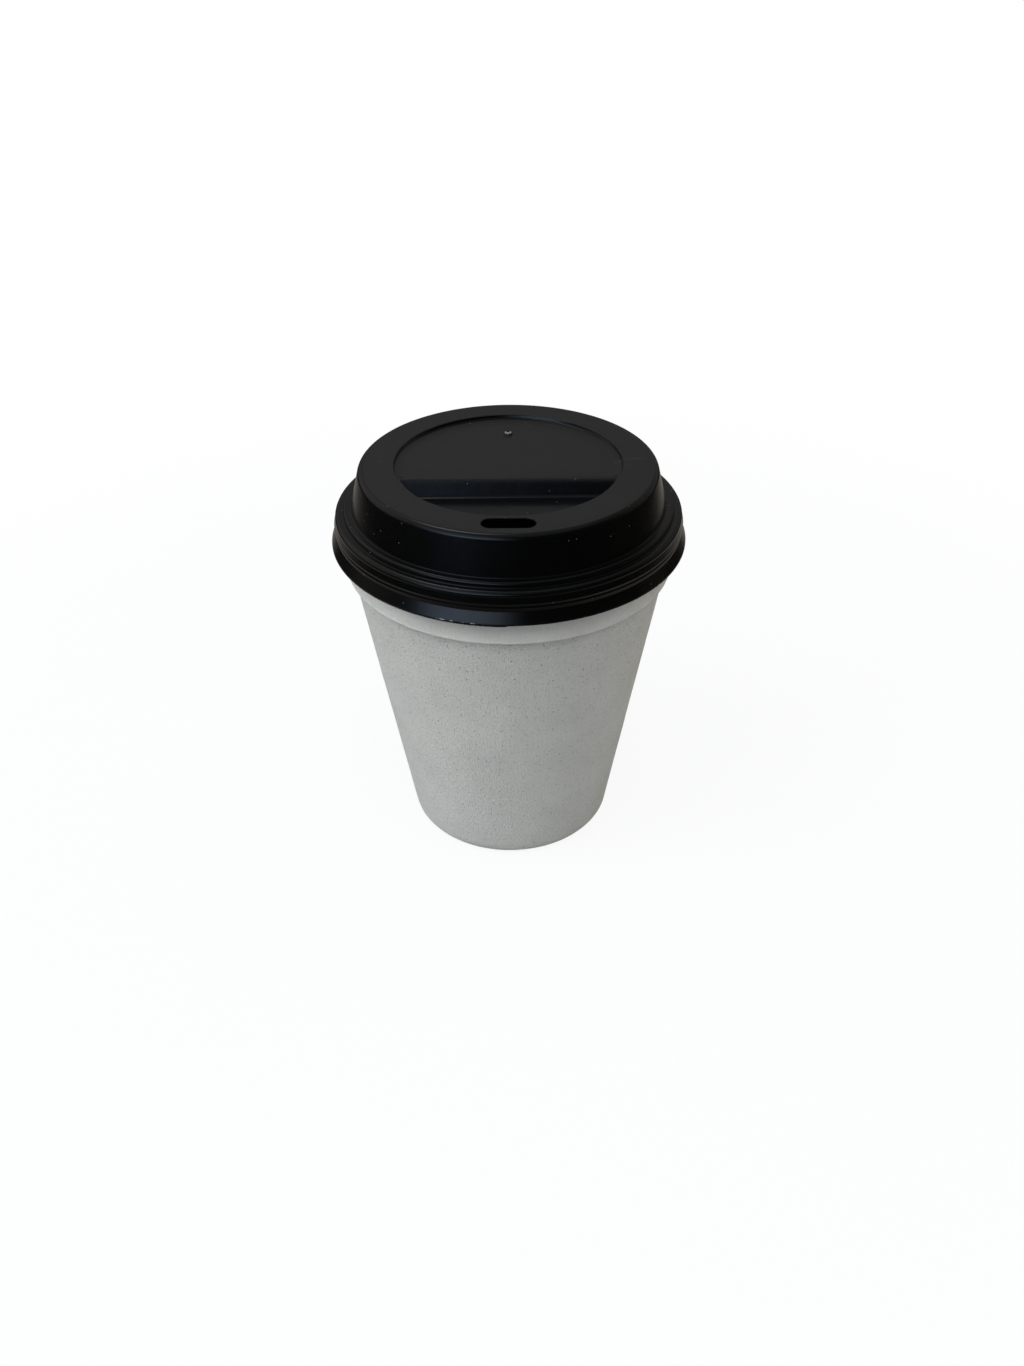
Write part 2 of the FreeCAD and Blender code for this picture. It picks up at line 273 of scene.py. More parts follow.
class Board:
    """Builds a node tree with short calls.

    The finishes pass it on together with place, the coordinates on the piece.
    """

    def __init__(self, tree: bpy.types.NodeTree) -> None:
        """Empty the tree.

        Args:
            tree: The tree to build in.
        """
        self.tree = tree
        self.tree.nodes.clear()

    def node(self, kind: str, inputs: dict | None = None, **settings: object) -> bpy.types.Node:
        """Add a node.

        Args:
            kind: Blender's type name of the node.
            inputs: Values or output sockets by input name or number.
            settings: Properties of the node.

        Returns:
            The new node.
        """
        made = self.tree.nodes.new(kind)
        for name, value in settings.items():
            setattr(made, name, value)
        for name, value in (inputs or {}).items():
            socket = made.inputs[name]
            if isinstance(value, Socket):
                self.tree.links.new(value, socket)
            else:
                socket.default_value = value
        return made

    def math(self, operation: str, first: object, second: object = 0.0) -> Socket:
        """Add a math node and return its result."""
        return self.node("ShaderNodeMath", {0: first, 1: second}, operation=operation).outputs[0]

    def product(self, *factors: object) -> Socket:
        """Multiply numbers."""
        result = factors[0]
        for factor in factors[1:]:
            result = self.math("MULTIPLY", result, factor)
        return result

    def vector(self, operation: str, first: object, second: object = (0.0, 0.0, 0.0)) -> bpy.types.Node:
        """Add a vector math node."""
        return self.node("ShaderNodeVectorMath", {0: first, 1: second}, operation=operation)

    def ramp(
        self, value: object, low: float, high: float, start: float = 0.0, finish: float = 1.0,
    ) -> Socket:
        """Blend smoothly from one number to another over a range.

        Args:
            value: The number that runs through the range.
            low: Low end of the range.
            high: High end of the range.
            start: Result at the low end.
            finish: Result at the high end.

        Returns:
            The blended number.
        """
        made = self.node(
            "ShaderNodeMapRange",
            {"Value": value, "From Min": low, "From Max": high, "To Min": start, "To Max": finish},
            interpolation_type="SMOOTHSTEP",
        )
        return made.outputs["Result"]

    def span(
        self, value: object, low: float, high: float, start: float = 0.0, finish: float = 1.0,
    ) -> Socket:
        """Blend like a ramp, over a range in millimetres."""
        return self.ramp(value, low * MM, high * MM, start, finish)

    def from_axis(self, axes: bpy.types.Node, along: float) -> Socket:
        """Measure the distance from a vertical axis.

        Args:
            axes: The separated coordinates.
            along: Place of the axis on Y, in millimetres.

        Returns:
            The distance, in metres.
        """
        across = self.math("SUBTRACT", axes.outputs["Y"], along * MM)
        flat = self.node("ShaderNodeCombineXYZ", {0: axes.outputs["X"], 1: across})
        return self.vector("LENGTH", flat.outputs[0]).outputs["Value"]

    def seen(self) -> Socket:
        """Tell the rays that look at a surface from those that gather its light.

        Returns:
            1 for camera, glossy and transmission rays, and 0 for all others.
        """
        path = self.node("ShaderNodeLightPath")
        looking = self.math("MAXIMUM", path.outputs["Is Camera Ray"], path.outputs["Is Glossy Ray"])
        return self.math("MAXIMUM", looking, path.outputs["Is Transmission Ray"])

    def noise(
        self, place: object, grain: float, detail: float, roughness: float = 0.5,
    ) -> Socket:
        """Add a noise of a grain in millimetres and return its height."""
        made = self.node(
            "ShaderNodeTexNoise",
            {"Vector": place, "Scale": 1.0 / (grain * MM), "Detail": detail, "Roughness": roughness},
        )
        return made.outputs["Fac"]

    def tint(self, amount: object, start: object, finish: object) -> Socket:
        """Mix two colours by an amount."""
        made = self.node("ShaderNodeMix", data_type="RGBA")
        sockets = [item for item in made.inputs if item.type == "RGBA"]
        for socket, value in ((made.inputs[0], amount), (sockets[0], start), (sockets[1], finish)):
            if isinstance(value, Socket):
                self.tree.links.new(value, socket)
            else:
                socket.default_value = value
        return [item for item in made.outputs if item.type == "RGBA"][0]

    def bump(
        self, height: object, distance: float, strength: float = 1.0, normal: object = None,
    ) -> Socket:
        """Tilt the surface by a height.

        Args:
            height: The height, from 0 to 1.
            distance: What a height of 1 stands for, in millimetres.
            strength: How much of it is used.
            normal: The normal of a bump below this one, if any.

        Returns:
            The tilted normal.
        """
        inputs = {"Height": height, "Distance": distance * MM, "Strength": strength}
        if normal is not None:
            inputs["Normal"] = normal
        return self.node("ShaderNodeBump", inputs).outputs["Normal"]


def start_material(name: str) -> tuple[bpy.types.Material, Board]:
    """Make an empty material.

    Args:
        name: Its name.

    Returns:
        The material and the board of its node tree.
    """
    material = bpy.data.materials.new(name)
    material.use_nodes = True
    return material, Board(material.node_tree)


@dataclass(frozen=True)
class Pits:
    """Small round pits scattered over the fibre.

    Attributes:
        pitch: Mean distance between two places for a pit, in millimetres.
        share: Share of the places that have one.
        size: Radius of a pit, in millimetres.
        dark: How dark a pit is, from 0 to 1.
        core: Share of the radius within which it is darkest.
        edge: Multiple of the radius at which it has faded.
    """

    pitch: float
    share: float
    size: float
    dark: float
    core: float = 0.5
    edge: float = 1.3

    def scatter(self, board: Board, flat: object) -> Socket:
        """Scatter the pits.

        Args:
            board: The node tree.
            flat: Flat coordinates on the wall.

        Returns:
            1 in a pit and 0 beside it.
        """
        spots = board.node(
            "ShaderNodeTexVoronoi", {"Vector": flat, "Scale": 1.0 / (self.pitch * MM)},
            voronoi_dimensions="2D")
        radius = self.size / self.pitch
        dot = board.ramp(spots.outputs["Distance"], radius * self.core, radius * self.edge, 1.0, 0.0)
        chance = board.node("ShaderNodeSeparateColor", {"Color": spots.outputs["Color"]}).outputs[0]
        return board.product(dot, board.math("LESS_THAN", chance, self.share))


@dataclass(frozen=True)
class PulpFinish:
    """Moulded fibre: matt off-white with a pebbled grain, dark specks and a few stray fibres."""

    name: str = "moulded_fibre"
    pale: Colour = (0.482, 0.482, 0.462, 1.0)
    deep: Colour = (0.388, 0.388, 0.370, 1.0)
    speck: Colour = (0.10, 0.095, 0.085, 1.0)
    roughness: float = 0.72
    specular: float = 0.3
    cloud_size: float = 11.0
    cloud_share: float = 0.9
    cloud_relief: float = 0.3
    cloud_strength: float = 0.4
    grain: float = 0.44
    grain_squash: float = 1.25
    grain_rough: float = 0.62
    grain_low: float = 0.34
    grain_high: float = 0.64
    grain_share: float = 0.42
    grain_relief: float = 0.19
    grain_strength: float = 0.7
    collar_from: float = 73.4
    collar_blend: float = 0.6
    collar_calm: float = 0.65
    girth: float = 33.0
    flecks: Pits = Pits(0.95, 0.42, 0.15, 0.30)
    crumbs: Pits = Pits(3.1, 0.42, 0.23, 0.46)
    fibre_turns: tuple[float, ...] = (18.0, 64.0, 105.0, 152.0)
    fibre_width: float = 0.24
    fibre_slim: float = 0.13
    fibre_wander: float = 0.9
    fibre_low: float = 0.715
    fibre_high: float = 0.765
    fibre_dark: float = 0.55

    def _unrolled(self, board: Board, place: object) -> Socket:
        """Lay the wall flat: distance round the cup, and height.

        Returns:
            The flat coordinates, which part at the back of the cup.
        """
        axes = board.node("ShaderNodeSeparateXYZ", {0: place})
        ahead = board.product(axes.outputs["Y"], -1.0)
        angle = board.math("ARCTAN2", axes.outputs["X"], ahead)
        along = board.product(angle, self.girth * MM)
        return board.node("ShaderNodeCombineXYZ", {0: along, 1: axes.outputs["Z"]}).outputs[0]

    def _fibres(self, board: Board, flat: object, turn: float) -> Socket:
        """Scatter thin fibres that lie roughly along one direction.

        Args:
            board: The node tree.
            flat: Flat coordinates on the wall.
            turn: The direction, in degrees, which also sets where the pattern starts.

        Returns:
            1 on a fibre and 0 beside it.
        """
        laid = board.node(
            "ShaderNodeMapping",
            {"Vector": flat, "Location": (turn, 0.0, 0.0), "Rotation": (0.0, 0.0, math.radians(turn)),
             "Scale": (1.0, self.fibre_slim, 1.0)},
        )
        strands = board.node(
            "ShaderNodeTexNoise",
            {"Vector": laid.outputs[0], "Scale": 1.0 / (self.fibre_width * MM), "Detail": 1.0,
             "Distortion": self.fibre_wander},
        )
        return board.ramp(strands.outputs["Fac"], self.fibre_low, self.fibre_high)

    def build(self) -> bpy.types.Material:
        """Make the material.

        Returns:
            The material.
        """
        material, board = start_material(self.name)
        place = board.node("ShaderNodeTexCoord").outputs["Object"]
        height = board.node("ShaderNodeSeparateXYZ", {0: place}).outputs["Z"]
        collar = board.span(height, self.collar_from, self.collar_from + self.collar_blend)
        rough = board.math("SUBTRACT", 1.0, board.product(collar, self.collar_calm))

        clouds = board.noise(place, self.cloud_size, 2.0)
        squashed = board.vector("MULTIPLY", place, (1.0, 1.0, self.grain_squash)).outputs[0]
        grain = board.noise(squashed, self.grain, 3.0, self.grain_rough)
        pebbles = board.ramp(grain, self.grain_low, self.grain_high)
        uneven = board.math(
            "MULTIPLY",
            board.math("SUBTRACT", pebbles, 0.5),
            board.product(rough, self.grain_share))
        mottle = board.math("ADD", board.product(clouds, self.cloud_share), uneven)
        colour = board.tint(mottle, self.deep, self.pale)

        flat = self._unrolled(board, place)
        flecks = self.flecks.scatter(board, flat)
        crumbs = self.crumbs.scatter(board, flat)
        dark = board.math(
            "MAXIMUM",
            board.product(flecks, self.flecks.dark),
            board.product(crumbs, self.crumbs.dark))
        for turn in self.fibre_turns:
            strands = board.product(self._fibres(board, flat, turn), self.fibre_dark)
            dark = board.math("MAXIMUM", dark, strands)
        dark = board.product(dark, rough)
        colour = board.tint(dark, colour, self.speck)

        pits = board.math("SUBTRACT", pebbles, board.math("MAXIMUM", flecks, crumbs))
        pits = board.product(pits, rough)
        relief = board.bump(clouds, self.cloud_relief, self.cloud_strength)
        relief = board.bump(pits, self.grain_relief, self.grain_strength, relief)
        surface = board.node(
            "ShaderNodeBsdfPrincipled",
            {"Base Color": colour, "Roughness": self.roughness, "Specular IOR Level": self.specular,
             "Normal": relief},
        )
        board.node("ShaderNodeOutputMaterial", {"Surface": surface.outputs[0]})
        return material


@dataclass(frozen=True)
class HemGlint:
    """A painted highlight: a pale broken line on the skirt's hem corner, left of the middle, where the
    glint falls.

    Angles are counted from the front, in radians. The line is palest within thin of its level and
    has faded at thick, and it is broken where the noise is below low.
    """

    start: float = 0.16
    finish: float = 0.42
    fade: float = 0.04
    level: float = 80.82
    thin: float = 0.05
    thick: float = 0.12
    size: float = 0.8
    low: float = 0.47
    high: float = 0.60
    pale: float = 0.7

    def find(self, board: Board, place: object) -> Socket:
        """Find the painted highlight.

        Returns:
            How pale the surface is: 0 beside the painted highlight.
        """
        axes = board.node("ShaderNodeSeparateXYZ", {0: place})
        ahead = board.product(axes.outputs["Y"], -1.0)
        angle = board.math("ARCTAN2", board.product(axes.outputs["X"], -1.0), ahead)
        beside = board.math(
            "MULTIPLY",
            board.ramp(angle, self.start, self.start + self.fade),
            board.ramp(angle, self.finish - self.fade, self.finish, 1.0, 0.0))
        line = board.math("SUBTRACT", axes.outputs["Z"], self.level * MM)
        low = board.span(board.math("ABSOLUTE", line), self.thin, self.thick, 1.0, 0.0)
        broken = board.ramp(board.noise(place, self.size, 2.0), self.low, self.high)
        return board.product(beside, low, broken, self.pale)


@dataclass(frozen=True)
class Scuff:
    """A faint scuff that crosses the right side of the recess's rim.

    It is strongest within half_core and thin of its middle and has faded at half_length and thick.
    """

    along: float = 28.0
    across: float = 2.2
    half_core: float = 1.5
    half_length: float = 4.5
    thin: float = 0.08
    thick: float = 0.3
    size: float = 0.6
    low: float = 0.35
    high: float = 0.6
    pale: float = 0.16

    def find(self, board: Board, place: object) -> Socket:
        """Find the scuff.

        Returns:
            How pale the surface is: 0 beside the scuff.
        """
        axes = board.node("ShaderNodeSeparateXYZ", {0: place})
        across = board.math("ABSOLUTE", board.math("SUBTRACT", axes.outputs["Y"], self.across * MM))
        along = board.math("ABSOLUTE", board.math("SUBTRACT", axes.outputs["X"], self.along * MM))
        inside = board.math(
            "MULTIPLY",
            board.span(across, self.thin, self.thick, 1.0, 0.0),
            board.span(along, self.half_core, self.half_length, 1.0, 0.0))
        broken = board.ramp(board.noise(place, self.size, 2.0), self.low, self.high)
        return board.product(inside, broken, self.pale)


@dataclass(frozen=True)
class CraterGlint:
    """A painted highlight: a pale tint on the front side of the vent's crater rim, where its glint falls.

    It is palest within inner and ahead of front, both counted from the vent, and has faded at
    outer and back.
    """

    place: float = 18.2
    level: float = 97.75
    rise: float = 0.3
    inner: float = 0.95
    outer: float = 1.1
    front: float = -0.15
    back: float = 0.25
    pale: float = 0.32

    def find(self, board: Board, place: object) -> Socket:
        """Find the painted highlight on the crater's rim.

        Returns:
            How pale the surface is: 0 beside the rim.
        """
        axes = board.node("ShaderNodeSeparateXYZ", {0: place})
        across = board.math("SUBTRACT", axes.outputs["Y"], self.place * MM)
        ring = board.span(board.from_axis(axes, self.place), self.inner, self.outer, 1.0, 0.0)
        front = board.span(across, self.front, self.back, 1.0, 0.0)
        high = board.span(axes.outputs["Z"], self.level, self.level + self.rise)
        return board.product(ring, front, high, self.pale)


@dataclass(frozen=True)
class Grit:
    """Dust specks on the plastic.

    Core and edge are shares of the pitch, and rarity is the share of the places without a speck.
    """

    pitch: float = 0.85
    core: float = 0.07
    edge: float = 0.14
    rarity: float = 0.972

    def find(self, board: Board, place: object) -> Socket:
        """Scatter the specks.

        Returns:
            1 on a speck and 0 beside it.
        """
        cells = board.node("ShaderNodeTexVoronoi", {"Vector": place, "Scale": 1.0 / (self.pitch * MM)})
        dot = board.ramp(cells.outputs["Distance"], self.core, self.edge, 1.0, 0.0)
        chance = board.node("ShaderNodeSeparateColor", {"Color": cells.outputs["Color"]})
        return board.product(dot, board.math("GREATER_THAN", chance.outputs[0], self.rarity))


@dataclass(frozen=True)
class LidFinish:
    """Black thermoformed plastic with a fine matt texture where the top stayed flat.

    The sheet is polished where it was stretched: on the walls, in the well and round the recess. Painted
    light: shade darkens the panel behind the recess's wall, a bluish tint paints the well's reflection,
    and pale highlights are painted on the vent's crater and the hem.
    """

    name: str = "black_lid_plastic"
    polished: Colour = (0.0007, 0.0008, 0.0008, 1.0)
    textured: Colour = (0.0044, 0.0051, 0.0046, 1.0)
    # Painted reflection: the well's darker bluish tint stands in for the dim bluish light it reflects.
    painted_well_reflection: Colour = (0.0005, 0.0007, 0.0012, 1.0)
    dust: Colour = (0.13, 0.125, 0.115, 1.0)
    # Pale colour of the painted highlights on the vent's crater and the skirt's hem corner.
    painted_highlight: Colour = (0.30, 0.31, 0.32, 1.0)
    matt: float = 0.55
    gloss: float = 0.19
    gloss_drift: float = 0.06
    specular: float = 0.5
    cloud_size: float = 7.0
    cloud_relief: float = 0.14
    cloud_strength: float = 0.5
    texture_size: float = 0.20
    texture_relief: float = 0.012
    texture_strength: float = 0.6
    matt_from: float = 95.8
    matt_full: float = 97.2
    edge_from: float = 32.6
    edge_full: float = 34.0
    recess_radius: float = 26.5
    recess_shift: float = 1.05
    rim_blend: float = 0.6
    panel_full: float = 25.8
    panel_edge: float = 26.2
    # Band of painted shade on the panel just inside the back of the recess's wall.
    shade_band_from: float = 22.9
    shade_band_full: float = 24.8
    shade_band_front: float = 8.0
    shade_band_back: float = 20.0
    shade_band_share: float = 0.75
    fold_from: float = -7.45
    fold_full: float = -4.25
    sunken_full: float = 94.0
    sunken_from: float = 94.6
    slot_place: float = -29.05
    slot_length: float = 12.0
    slot_width: float = 4.4
    slot_near: float = 0.05
    slot_clear: float = 0.25
    hem_glint: HemGlint = HemGlint()
    scuff: Scuff = Scuff()
    crater: CraterGlint = CraterGlint()
    grit: Grit = Grit()

    def _flats(self, board: Board, place: object) -> Socket:
        """Find the parts of the top that stayed flat in the mould.

        Returns:
            1 on the flat top and panel, and 0 round the recess's wall, at the fold and lower down. Less on
            the panel just inside the back of the recess's wall, where painted shade of that wall makes it
            darker and glossy.
        """
        axes = board.node("ShaderNodeSeparateXYZ", {0: place})
        across = board.math("SUBTRACT", axes.outputs["Y"], self.recess_shift * MM)
        away = board.from_axis(axes, self.recess_shift)
        edge = board.span(board.from_axis(axes, 0.0), self.edge_from, self.edge_full, 1.0, 0.0)
        beyond = board.span(away, self.recess_radius, self.recess_radius + self.rim_blend)
        outside = board.product(beyond, edge)
        # Painted shade: a band just inside the back of the recess's wall is taken off the flat panel, so
        # it gets the darker polished colour and gloss, as shade cast by that wall.
        behind = board.span(across, self.shade_band_front, self.shade_band_back, 0.0, self.shade_band_share)
        thin = board.product(behind, board.span(away, self.shade_band_from, self.shade_band_full))
        panel = board.span(away, self.panel_full, self.panel_edge, 1.0, 0.0)
        panel = board.math("SUBTRACT", panel, thin)
        ahead = board.span(axes.outputs["Y"], self.fold_from, self.fold_full)
        level = board.span(axes.outputs["Z"], self.matt_from, self.matt_full)
        kept = board.math("MAXIMUM", outside, board.product(panel, ahead))
        return board.product(kept, self._beside_slot(board, axes), level)

    def _beside_slot(self, board: Board, axes: bpy.types.Node) -> Socket:
        """Find what lies outside the sip slot.

        Args:
            board: The node tree.
            axes: The separated coordinates.

        Returns:
            1 outside the slot and 0 on its wall.
        """
        half = self.slot_width / 2.0
        straight = (self.slot_length / 2.0 - half) * MM
        side = board.math("SUBTRACT", board.math("ABSOLUTE", axes.outputs["X"]), straight)
        side = board.math("MAXIMUM", side, 0.0)
        ahead = board.math("SUBTRACT", axes.outputs["Y"], self.slot_place * MM)
        from_line = board.node("ShaderNodeCombineXYZ", {0: side, 1: ahead})
        away = board.vector("LENGTH", from_line.outputs[0]).outputs["Value"]
        return board.span(away, half + self.slot_near, half + self.slot_clear)

    def _sunken(self, board: Board, place: object) -> Socket:
        """Find the inside of the drinking well.

        Returns:
            1 in the well and 0 elsewhere.
        """
        axes = board.node("ShaderNodeSeparateXYZ", {0: place})
        away = board.from_axis(axes, self.recess_shift)
        within = board.math("LESS_THAN", away, self.recess_radius * MM)
        low = board.span(axes.outputs["Z"], self.sunken_full, self.sunken_from, 1.0, 0.0)
        return board.product(within, low)

    def build(self) -> bpy.types.Material:
        """Make the material.

        Returns:
            The material.
        """
        material, board = start_material(self.name)
        place = board.node("ShaderNodeTexCoord").outputs["Object"]
        top = self._flats(board, place)

        texture = board.noise(place, self.texture_size, 2.0)
        clouds = board.noise(place, self.cloud_size, 2.0)
        rough = board.ramp(top, 0.0, 1.0, self.gloss, self.matt)
        drift = board.product(board.math("SUBTRACT", clouds, 0.5), self.gloss_drift)
        rough = board.math("ADD", rough, drift)

        marks = board.math("MAXIMUM", self.grit.find(board, place), self.scuff.find(board, place))
        # Painted reflection: the well takes a darker bluish tint for the light it reflects.
        colour = board.tint(self._sunken(board, place), self.polished, self.painted_well_reflection)
        colour = board.tint(top, colour, self.textured)
        colour = board.tint(marks, colour, self.dust)
        # Painted highlights: pale glints on the front of the vent's crater and along the skirt's hem
        # corner.
        painted_glints = board.math("MAXIMUM", self.crater.find(board, place), self.hem_glint.find(board, place))
        colour = board.tint(painted_glints, colour, self.painted_highlight)

        relief = board.bump(clouds, self.cloud_relief, self.cloud_strength)
        texture = board.product(texture, top)
        relief = board.bump(texture, self.texture_relief, self.texture_strength, relief)
        surface = board.node(
            "ShaderNodeBsdfPrincipled",
            {"Base Color": colour, "Roughness": rough, "Specular IOR Level": self.specular,
             "Normal": relief},
        )
        board.node("ShaderNodeOutputMaterial", {"Surface": surface.outputs[0]})
        return material


@dataclass(frozen=True)
class FloorFinish:
    """A white table top that keeps the cup's shadow and fades into the white round it."""

    name: str = "white_floor"
    colour: Colour = (0.44, 0.46, 0.48, 1.0)
    glow: float = 0.91
    fade_from: float = 0.14
    fade_to: float = 0.32

    def build(self) -> bpy.types.Material:
        """Make the material.

        Returns:
            The material.
        """
        material, board = start_material(self.name)
        place = board.node("ShaderNodeTexCoord").outputs["Object"]
        distance = board.vector("LENGTH", place).outputs["Value"]
        matt = board.node("ShaderNodeBsdfDiffuse", {"Color": self.colour})
        light = board.node("ShaderNodeEmission", {"Color": WHITE, "Strength": 1.0})
        share = board.ramp(distance, self.fade_from, self.fade_to, self.glow, 1.0)
        share = board.product(board.seen(), share)
        mixed = board.node("ShaderNodeMixShader", {0: share, 1: matt.outputs[0], 2: light.outputs[0]})
        board.node("ShaderNodeOutputMaterial", {"Surface": mixed.outputs[0]})
        return material


@dataclass
class FibreCup:
    """The cup: one fibre moulding with a raised floor, foot ring, tapered wall, collar and lip."""

    height: float = 87.4
    wall: float = 0.9
    floor: float = 1.0
    foot_radius: float = 25.3
    foot_corner: float = 3.0
    foot_ring: float = 5.0
    foot_rise: float = 1.1
    ring_slope: float = 0.8
    rim_radius: float = 40.05
    lip_width: float = 0.95
    lip_height: float = 0.9
    lip_slope: float = 0.5
    collar_height: float = 14.1
    collar_flare: float = 0.1
    collar_step: float = 1.4
    collar_rise: float = 0.6
    collar_lip: float = 0.16
    collar_lip_height: float = 0.9
    steps: int = 256
    row: float = 0.9
    wave_size: float = 16.0
    wave_height: float = 0.12
    lump_size: float = 3.4
    lump_height: float = 0.05
    smooth_below: float = 40.0

    def _outline(self) -> Outline:
        """Section of the wall and floor, from the middle of the underside round to the inside.

        Returns:
            The closed half section.
        """
        neck = self.rim_radius - self.lip_width
        collar = neck - self.collar_flare
        cone = collar - self.collar_step
        ring = self.foot_radius - self.foot_ring
        step_foot = self.height - self.collar_height
        step_top = step_foot + self.collar_rise
        lip_foot = self.height - self.lip_height - self.lip_slope
        corners = [
            Corner(0.0, self.foot_rise),
            Corner(ring - self.ring_slope, self.foot_rise, 0.5),
            Corner(ring, 0.0, 0.4),
            Corner(self.foot_radius, 0.0, self.foot_corner),
            Corner(cone, step_foot, 0.25),
            Corner(collar, step_top, 0.3),
            Corner(collar - self.collar_lip, step_top + self.collar_lip_height, 0.6),
            Corner(neck, lip_foot, 0.6),
            Corner(self.rim_radius, self.height - self.lip_height, 0.25),
            Corner(self.rim_radius, self.height, 0.3),
            Corner(neck - self.wall, self.height, 0.35),
            Corner(neck - self.wall, lip_foot, 1.0),
            Corner(collar - self.wall, step_top + self.collar_rise, 0.5),
            Corner(cone - self.wall, step_foot + self.collar_rise, 0.5),
            Corner(self.foot_radius - self.wall, self.floor, self.foot_corner - self.wall),
            Corner(ring, self.floor, 0.5),
            Corner(ring - self.ring_slope, self.foot_rise + self.floor, 0.4),
            Corner(0.0, self.foot_rise + self.floor),
        ]
        return Outline(corners, longest_run=self.row)

    def build(self, finish: PulpFinish) -> bpy.types.Object:
        """Make and dress the cup.

        Args:
            finish: The fibre's finish.

        Returns:
            The cup.
        """
        cup = Bench.turn("fibre_cup", self._outline(), self.steps)
        Bench.uneven(cup, "slow_waves", self.wave_size, self.wave_height)
        Bench.uneven(cup, "pulp_lumps", self.lump_size, self.lump_height)
        Bench.smooth(cup, self.smooth_below)
        cup.data.materials.append(finish.build())
        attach(cup, "cup")
        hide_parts("cup")
        return cup


@dataclass(frozen=True)
class WellRing:
    """One level of the drinking well's outline.

    Attributes:
        height: Level of the outline.
        back: Place of its straight back edge on Y.
        front: Place of its foremost point on Y.
        half: Half the length of its back edge.
    """

    height: float
    back: float
    front: float
    half: float


@dataclass
class SipLid:
    """The lid: one thermoformed sheet with a dome, two ledges, a snap groove and a flared skirt."""

    wall: float = 0.45
    seat_radius: float = 40.35
    seat_level: float = 87.5
    dome_level: float = 98.35
    dome_radius: float = 34.7
    dome_foot: float = 37.0
    ledge_radius: float = 38.75
    ledge_level: float = 89.25
    ledge_lean: float = 0.2
    ledge_round: float = 0.6
    ledge_foot: float = 0.2
    dome_round: float = 1.4
    shoulder_round: float = 1.0
    hem: float = 0.35
    snap_level: float = 86.8
    bulge: float = 0.35
    bulge_level: float = 85.3
    groove: float = 0.14
    groove_level: float = 84.8
    bead: float = 0.3
    bead_level: float = 84.3
    flare_level: float = 83.5
    flare: float = 1.2
    skirt_level: float = 80.5
    recess_radius: float = 26.5
    recess_shift: float = 1.05
    recess_round: float = 0.35
    recess_foot: float = 0.4
    recess_lean: float = 0.15
    recess_foot_round: float = 0.35
    recess_sweep: float = 1.9
    recess_sweep_round: float = 7.0
    recess_sag: float = 0.2
    tray_round: float = 0.6
    panel_level: float = 97.4
    fold: float = -5.65
    fold_round: float = 1.4
    well_level: float = 93.7
    well_run: float = 2.2
    well_draft: float = 0.35
    well_round: float = 0.5
    well_gap: float = 0.05
    well_over: float = 0.4
    slot_length: float = 11.8
    slot_width: float = 4.4
    slot_place: float = -29.05
    slot_round: float = 0.15
    slot_ends: float = 0.4995
    vent_place: float = 18.2
    vent_radius: float = 1.1
    vent_top: float = 0.8
    vent_height: float = 0.7
    vent_hole: float = 0.32
    trim_slip: float = 0.25
    slip_start: float = -90.7
    slip_fade: float = 75.0
    slip_curve: float = 1.5
    trim_slack: float = 0.01
    steps: int = 256
    small_steps: int = 48
    fold_steps: int = 5
    well_segments: int = 5
    slot_segments: int = 16
    slot_steps: int = 4
    skin: float = 0.004
    spare: float = 1.0
    smooth_below: float = 35.0

    def _shell_outline(self) -> Outline:
        """Section of the sheet, down the outside from the middle of the top and back up the inside.

        Returns:
            The closed half section.
        """
        outer = self.seat_radius + self.wall
        skirt = outer + self.flare
        drop = self.flare_level - self.skirt_level
        skirt_wall = self.wall * math.hypot(1.0, self.flare / drop)
        shoulder = self.seat_level + self.wall
        step_foot = self.ledge_radius + self.ledge_lean
        inner_ledge = self.ledge_level - self.wall
        corners = [
            Corner(0.0, self.dome_level),
            Corner(self.dome_radius, self.dome_level, self.dome_round),
            Corner(self.dome_foot, self.ledge_level, self.ledge_foot),
            Corner(self.ledge_radius, self.ledge_level, self.ledge_round),
            Corner(step_foot, shoulder, self.ledge_foot),
            Corner(outer, shoulder, self.shoulder_round),
            Corner(outer, self.snap_level, 0.4),
            Corner(outer + self.bulge, self.bulge_level, 0.22),
            Corner(outer + self.groove, self.groove_level, 0.15),
            Corner(outer + self.bead, self.bead_level, 0.18),
            Corner(outer, self.flare_level, 0.5),
            Corner(skirt, self.skirt_level + self.hem, 0.15),
            Corner(skirt, self.skirt_level, 0.05),
            Corner(skirt - skirt_wall, self.skirt_level),
            Corner(self.seat_radius, self.flare_level, 0.5),
            Corner(self.seat_radius + self.bead, self.bead_level, 0.15),
            Corner(self.seat_radius + self.groove, self.groove_level, 0.15),
            Corner(self.seat_radius + self.bulge, self.bulge_level, 0.15),
            Corner(self.seat_radius, self.snap_level, 0.3),
            Corner(self.seat_radius, self.seat_level, self.shoulder_round - self.wall),
            Corner(step_foot - self.wall, self.seat_level, self.ledge_foot + self.wall),
            Corner(self.ledge_radius - self.wall, inner_ledge),
            Corner(self.dome_foot - self.wall, inner_ledge, self.ledge_foot + self.wall),
            Corner(self.dome_radius - self.wall, self.dome_level - self.wall, self.dome_round - self.wall),
            Corner(0.0, self.dome_level - self.wall),
        ]
        return Outline(corners)

    def _slip_trim(self, lid: bpy.types.Object) -> None:
        """Let the trimmed edge of the skirt step down at the front and rise again to the left.

        Args:
            lid: The turned lid.
        """
        start = math.radians(self.slip_start)
        fade = math.radians(self.slip_fade)
        for vertex in lid.data.vertices:
            if vertex.co.z > (self.skirt_level + self.trim_slack) * MM:
                continue
            behind = (start - math.atan2(vertex.co.y, vertex.co.x)) % math.tau
            if behind < fade:
                vertex.co.z -= self.trim_slip * MM * (1.0 - behind / fade) ** self.slip_curve

